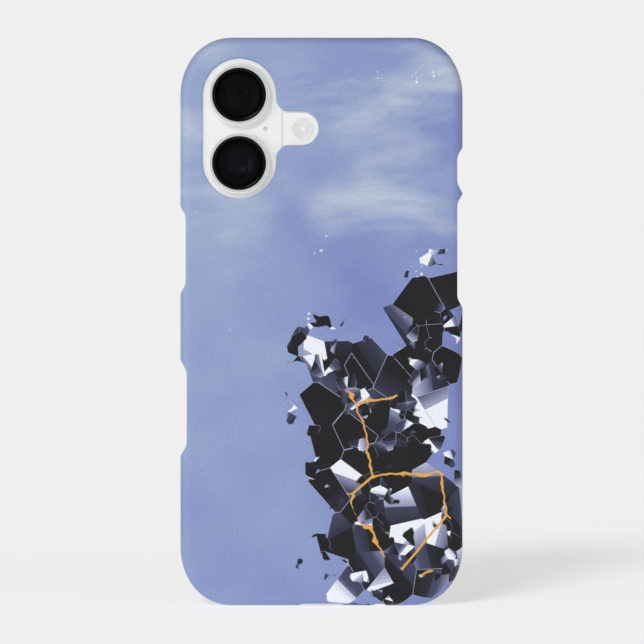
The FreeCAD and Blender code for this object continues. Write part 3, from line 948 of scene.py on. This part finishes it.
def mic_grille(cloth):
    """Shallow cup of woven cover over the rear microphone, with its six sound holes."""
    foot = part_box("rear_mic")[0].y
    middle = centre("rear_mic")
    radius = half_width("rear_mic")
    flat = radius * 0.7
    outer = radius * 0.94
    face = foot - 0.2 * MM
    floor_y = face + 0.06 * MM
    bm = bmesh.new()
    profile = ((0.0, floor_y), (flat, floor_y), (outer, face), (outer, foot), (0.0, foot))
    turned(bm, middle, profile, count=48)
    holes = 6
    circle = 0.42
    hole = radius * 0.09
    lip = floor_y - 0.02 * MM
    for i in range(holes):
        a = math.tau * i / holes
        spot = middle + Vector((math.cos(a), 0, math.sin(a))) * radius * circle
        turned(bm, spot, washer(hole, hole * 1.5, lip, foot), count=20)
    finish_piece("rear_mic_cover", bm, cloth, ("rear_mic",))


def port_contacts(count, gold):
    """Gilded contacts on both faces of the port's tongue."""
    low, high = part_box("port_tongue")
    margin = 0.25 * MM
    thick = 0.04 * MM
    pitch = (high.x - low.x - 2 * margin) / count
    half = pitch * 0.27
    start = low.y + margin
    stop = high.y - margin
    bm = bmesh.new()
    for face in (low.z, high.z):
        for i in range(count):
            x = low.x + margin + pitch * (i + 0.5)
            first = Vector((x - half, start, face - thick))
            second = Vector((x + half, stop, face + thick))
            rounded_bar(bm, first, second, round_by=0.015 * MM, segments=1)
    finish_piece("port_contacts", bm, gold)


def front_camera(radius, ink, glass):
    """Round window for the front camera, in the glass near the top of the screen."""
    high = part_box("screen")[1]
    face = high.y
    spot = Vector((0, 0, high.z - 6.2 * MM))
    inside = face - 0.05 * MM
    window = face + 0.006 * MM
    profile = washer(0.0, radius, inside, window)
    turned_piece("front_camera_window", spot, profile, ink, count=64)
    lens = radius * 0.42
    foot = face + 0.008 * MM
    rise = 0.03 * MM
    steps = 6
    profile = []
    for i in range(steps + 1):
        a = math.pi / 2 * i / steps
        profile.append((lens * math.sin(a), foot + rise * math.cos(a)))
    profile.append((0.0, foot))
    turned_piece("front_camera_lens", spot, profile, glass, count=48)


def control_inlay(glass):
    """Polished inlay on the camera control."""
    low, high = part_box("camera_control")
    side = 0.45 * MM
    end = side * 2
    rise = 0.01 * MM
    sunk = 0.10 * MM
    first = Vector((low.x - rise, low.y + side, low.z + end))
    second = Vector((low.x + sunk, high.y - side, high.z - end))
    bm = bmesh.new()
    rounded_bar(bm, first, second, round_by=0.02 * MM, segments=2)
    finish_piece("camera_control_inlay", bm, glass)


# ------ operators


class PHONECASE_OT_case(bpy.types.Operator):
    """Print the case"""

    bl_idname = "phone_case.case"
    bl_label = "Printed case"

    def execute(self, context):
        finish_slot("case_print", case_plastic(context.scene.phone_case_print))
        return {"FINISHED"}


class PHONECASE_OT_body(bpy.types.Operator):
    """Finish the phone's frame, glass, buttons and battery"""

    bl_idname = "phone_case.body"
    bl_label = "Phone body"

    def execute(self, context):
        settings = context.scene.phone_case_phone
        finish_slot("frame_metal", anodised("anodised_frame", settings.metal, roughness=0.32))
        finish_slot("white_glass", white_glass(settings))
        finish_slot("battery_wrap", flat_black("battery_wrap", 40, roughness=0.5))
        control_inlay(polished_glass(settings))
        return {"FINISHED"}


class PHONECASE_OT_lenses(bpy.types.Operator):
    """Build the optics behind the camera covers"""

    bl_idname = "phone_case.lenses"
    bl_label = "Camera lenses"

    def execute(self, context):
        settings = context.scene.phone_case_lens
        cover = clear_glass("camera_cover_glass", ior=1.16)
        finish_slot("cover_glass", cover)
        coated = coated_glass("coated_lens_glass", settings.dome, roughness=0.03)
        finish_slot("coated_glass", coated)
        black = flat_black("lens_black", 5, roughness=0.6, shine=0.04)
        finish_slot("lens_black", black)
        finish_slot("ring_metal", ring_finish(context.scene.phone_case_phone))
        ink = flat_black("border_ink", 3, roughness=0.5, shine=0.0)
        hollow = coated_glass("hollow_lens_glass", settings.coating, roughness=0.12)
        gasket = flat_black("lens_gasket", 4, roughness=0.15, shine=0.16)
        for lens in (UPPER, LOWER):
            lens_cover(lens, cover)
            lens_border(lens, ink)
            lens_baffles(lens, settings.baffles, black)
            lens_iris(lens, settings.blades, black)
            lens_gasket(lens, gasket)
        lens_dome(UPPER, coated)
        lens_hollow(LOWER, hollow)
        return {"FINISHED"}


class PHONECASE_OT_flash(bpy.types.Operator):
    """Build the flash and the rear microphone"""

    bl_idname = "phone_case.flash"
    bl_label = "Flash and microphone"

    def execute(self, context):
        settings = context.scene.phone_case_lens
        frost = flash_frost_painted_light(settings)
        finish_slot("flash_glass", frost)
        trim = satin_plastic("flash_trim", context.scene.phone_case_phone.glass)
        finish_slot("flash_trim", trim)
        flash_lens(frost)
        flash_emitters(phosphor(settings), trim)
        finish_slot("mesh", woven_mesh("sound_mesh"))
        mic_grille(satin_plastic("mic_cover", settings.mic))
        return {"FINISHED"}


class PHONECASE_OT_port(bpy.types.Operator):
    """Build the charging port's contacts"""

    bl_idname = "phone_case.port"
    bl_label = "Charging port"

    def execute(self, context):
        steel = brushed_steel("port_steel", paint(150, 150, 152), 0.35, fineness=(40, 40, 2))
        finish_slot("port_metal", steel)
        finish_slot("tongue_plastic", flat_black("tongue_plastic", 16, roughness=0.5))
        gold = brushed_steel("contact_gold", paint(214, 172, 96), 0.28, fineness=(60, 60, 3))
        port_contacts(context.scene.phone_case_phone.contacts, gold)
        return {"FINISHED"}


class PHONECASE_OT_screen(bpy.types.Operator):
    """Finish the screen and set the front camera in it"""

    bl_idname = "phone_case.screen"
    bl_label = "Screen"

    def execute(self, context):
        settings = context.scene.phone_case_phone
        coating = context.scene.phone_case_lens.coating
        finish_slot("screen_glass", screen_finish(settings))
        ink = flat_black("front_camera_ink", 3, roughness=0.12)
        glass = coated_glass("front_camera_glass", coating, roughness=0.06)
        front_camera(settings.front_camera, ink, glass)
        return {"FINISHED"}


# ------ stage


def pointing(turn, rise):
    """Unit vector towards a place on the sky; turn 0 is the camera's side, positive to the right."""
    return Vector(
        (math.sin(turn) * math.cos(rise), -math.cos(turn) * math.cos(rise), math.sin(rise))
    )


def studio_light(settings):
    """World light: soft boxes round the phone, with the backdrop's plain tone for the camera."""
    world = bpy.data.worlds.new("studio")
    bpy.context.scene.world = world
    g = Graph(world)
    direction = g.node("ShaderNodeTexCoord").outputs["Generated"]
    # turn from the camera's side towards the right, rise, half angle, soft edge (degrees), strength
    boxes = (
        (-57.0, 10.0, 11.0, 9.0, 3.3),
        (40.0, 10.0, 20.0, 26.0, 0.65),
        (165.0, 15.0, 24.0, 30.0, 0.2),
    )
    all_round, to_right, upwards = 0.21, -0.03, -0.12
    light = all_round
    for turn, rise, half, soft, strength in boxes:
        aim = pointing(math.radians(turn), math.radians(rise))
        near = g.dot(direction, tuple(aim))
        inner = math.cos(math.radians(half))
        outer = math.cos(math.radians(half + soft))
        light = g.add(g.smooth(near, outer, inner, 0.0, strength), light)
    x, _, z = g.split(direction)
    light = g.add(light, g.times(x, to_right), g.times(g.math("MAXIMUM", z, 0.0), upwards))
    lit = g.node("ShaderNodeBackground", {"Color": rgba((1, 1, 1)), "Strength": light})
    plain = g.node("ShaderNodeBackground", {"Color": rgba(settings.floor), "Strength": 1.0})
    seen = g.node("ShaderNodeLightPath").outputs["Is Camera Ray"]
    mixed = g.node("ShaderNodeMixShader", {0: seen, 1: lit.outputs[0], 2: plain.outputs[0]})
    g.node("ShaderNodeOutputWorld", {"Surface": mixed.outputs[0]})


def key_light(name, settings, strength, piece, state):
    """Key light; state says whether piece is all that it lights or all that it spares."""
    light = bpy.data.lights.new(name, "SUN")
    light.energy = strength
    light.angle = settings.sun_width
    holder = new_object(name, light)
    away = 2.0  # only its direction counts
    aim = pointing(-settings.sun_turn, settings.sun_rise)
    holder.location = aim * away
    holder.rotation_euler = aim.to_track_quat("Z", "Y").to_euler()
    lit = bpy.data.collections.new(name + "_lit")
    lit.objects.link(piece)
    lit.collection_objects[0].light_linking.link_state = state
    holder.light_linking.receiver_collection = lit


def floor(settings):
    """Wide matt floor that gives off part of its tone, so that its far edge melts away."""
    bm = bmesh.new()
    bmesh.ops.create_circle(bm, cap_ends=True, radius=60.0, segments=96)
    made = bpy.data.materials.new("studio_floor")
    g = Graph(made)
    tone = settings.floor
    matt = g.node("ShaderNodeBsdfDiffuse", {"Color": rgba(tone, settings.floor_matt)})
    glow = g.node("ShaderNodeEmission", {"Color": rgba(tone), "Strength": settings.floor_glow})
    both = g.node("ShaderNodeAddShader", {0: matt.outputs[0], 1: glow.outputs[0]})
    g.node("ShaderNodeOutputMaterial", {"Surface": both.outputs[0]})
    piece = mesh_object("floor", bm, made)
    return piece


def camera(settings):
    """Camera straight out from the printed back."""
    data = bpy.data.cameras.new("camera")
    holder = new_object("camera", data)
    data.sensor_width = 36.0
    data.lens = data.sensor_width * settings.distance / settings.view_width
    data.clip_start = 0.01
    data.clip_end = 200.0
    edge_depth = 3.0 * MM
    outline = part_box("case_shell")[0].y + edge_depth  # where the case is widest
    holder.location = (settings.view_side, outline - settings.distance, settings.view_height)
    holder.rotation_euler = (math.radians(90), 0, 0)
    bpy.context.scene.camera = holder


class PHONECASE_OT_stage(bpy.types.Operator):
    """Set the floor, the studio light and the camera"""

    bl_idname = "phone_case.stage"
    bl_label = "Stage"

    def execute(self, context):
        settings = context.scene.phone_case_stage
        ground = floor(settings)
        studio_light(settings)
        key_light("key", settings, settings.sun_strength, ground, "EXCLUDE")
        key_light("floor_key", settings, settings.shadow_strength, ground, "INCLUDE")
        camera(settings)
        context.scene.view_settings.view_transform = "Standard"
        return {"FINISHED"}


class PHONECASE_PT_panel(bpy.types.Panel):
    """Lists the steps and their settings"""

    bl_idname = "PHONECASE_PT_panel"
    bl_label = "Phone case"
    bl_space_type = "VIEW_3D"
    bl_region_type = "UI"
    bl_category = "Phone case"

    def draw(self, context):
        for operator in OPERATORS:
            self.layout.operator(operator.bl_idname)
        for name, group in SETTINGS:
            box = self.layout.box()
            box.label(text=group.__name__.replace("Settings", ""))
            values = getattr(context.scene, name)
            for key in group.__annotations__:
                box.prop(values, key)


OPERATORS = (
    PHONECASE_OT_case,
    PHONECASE_OT_body,
    PHONECASE_OT_lenses,
    PHONECASE_OT_flash,
    PHONECASE_OT_port,
    PHONECASE_OT_screen,
    PHONECASE_OT_stage,
)
SETTINGS = (
    ("phone_case_print", PrintSettings),
    ("phone_case_phone", PhoneSettings),
    ("phone_case_lens", LensSettings),
    ("phone_case_stage", StageSettings),
)


def register():
    for name, group in SETTINGS:
        bpy.utils.register_class(group)
        setattr(bpy.types.Scene, name, bpy.props.PointerProperty(type=group))
    for operator in OPERATORS:
        bpy.utils.register_class(operator)
    bpy.utils.register_class(PHONECASE_PT_panel)


def unregister():
    bpy.utils.unregister_class(PHONECASE_PT_panel)
    for operator in reversed(OPERATORS):
        bpy.utils.unregister_class(operator)
    for name, group in reversed(SETTINGS):
        delattr(bpy.types.Scene, name)
        bpy.utils.unregister_class(group)


def main():
    register()
    for operator in OPERATORS:
        prefix, name = operator.bl_idname.split(".")
        getattr(getattr(bpy.ops, prefix), name)()


if __name__ == "__main__":
    main()
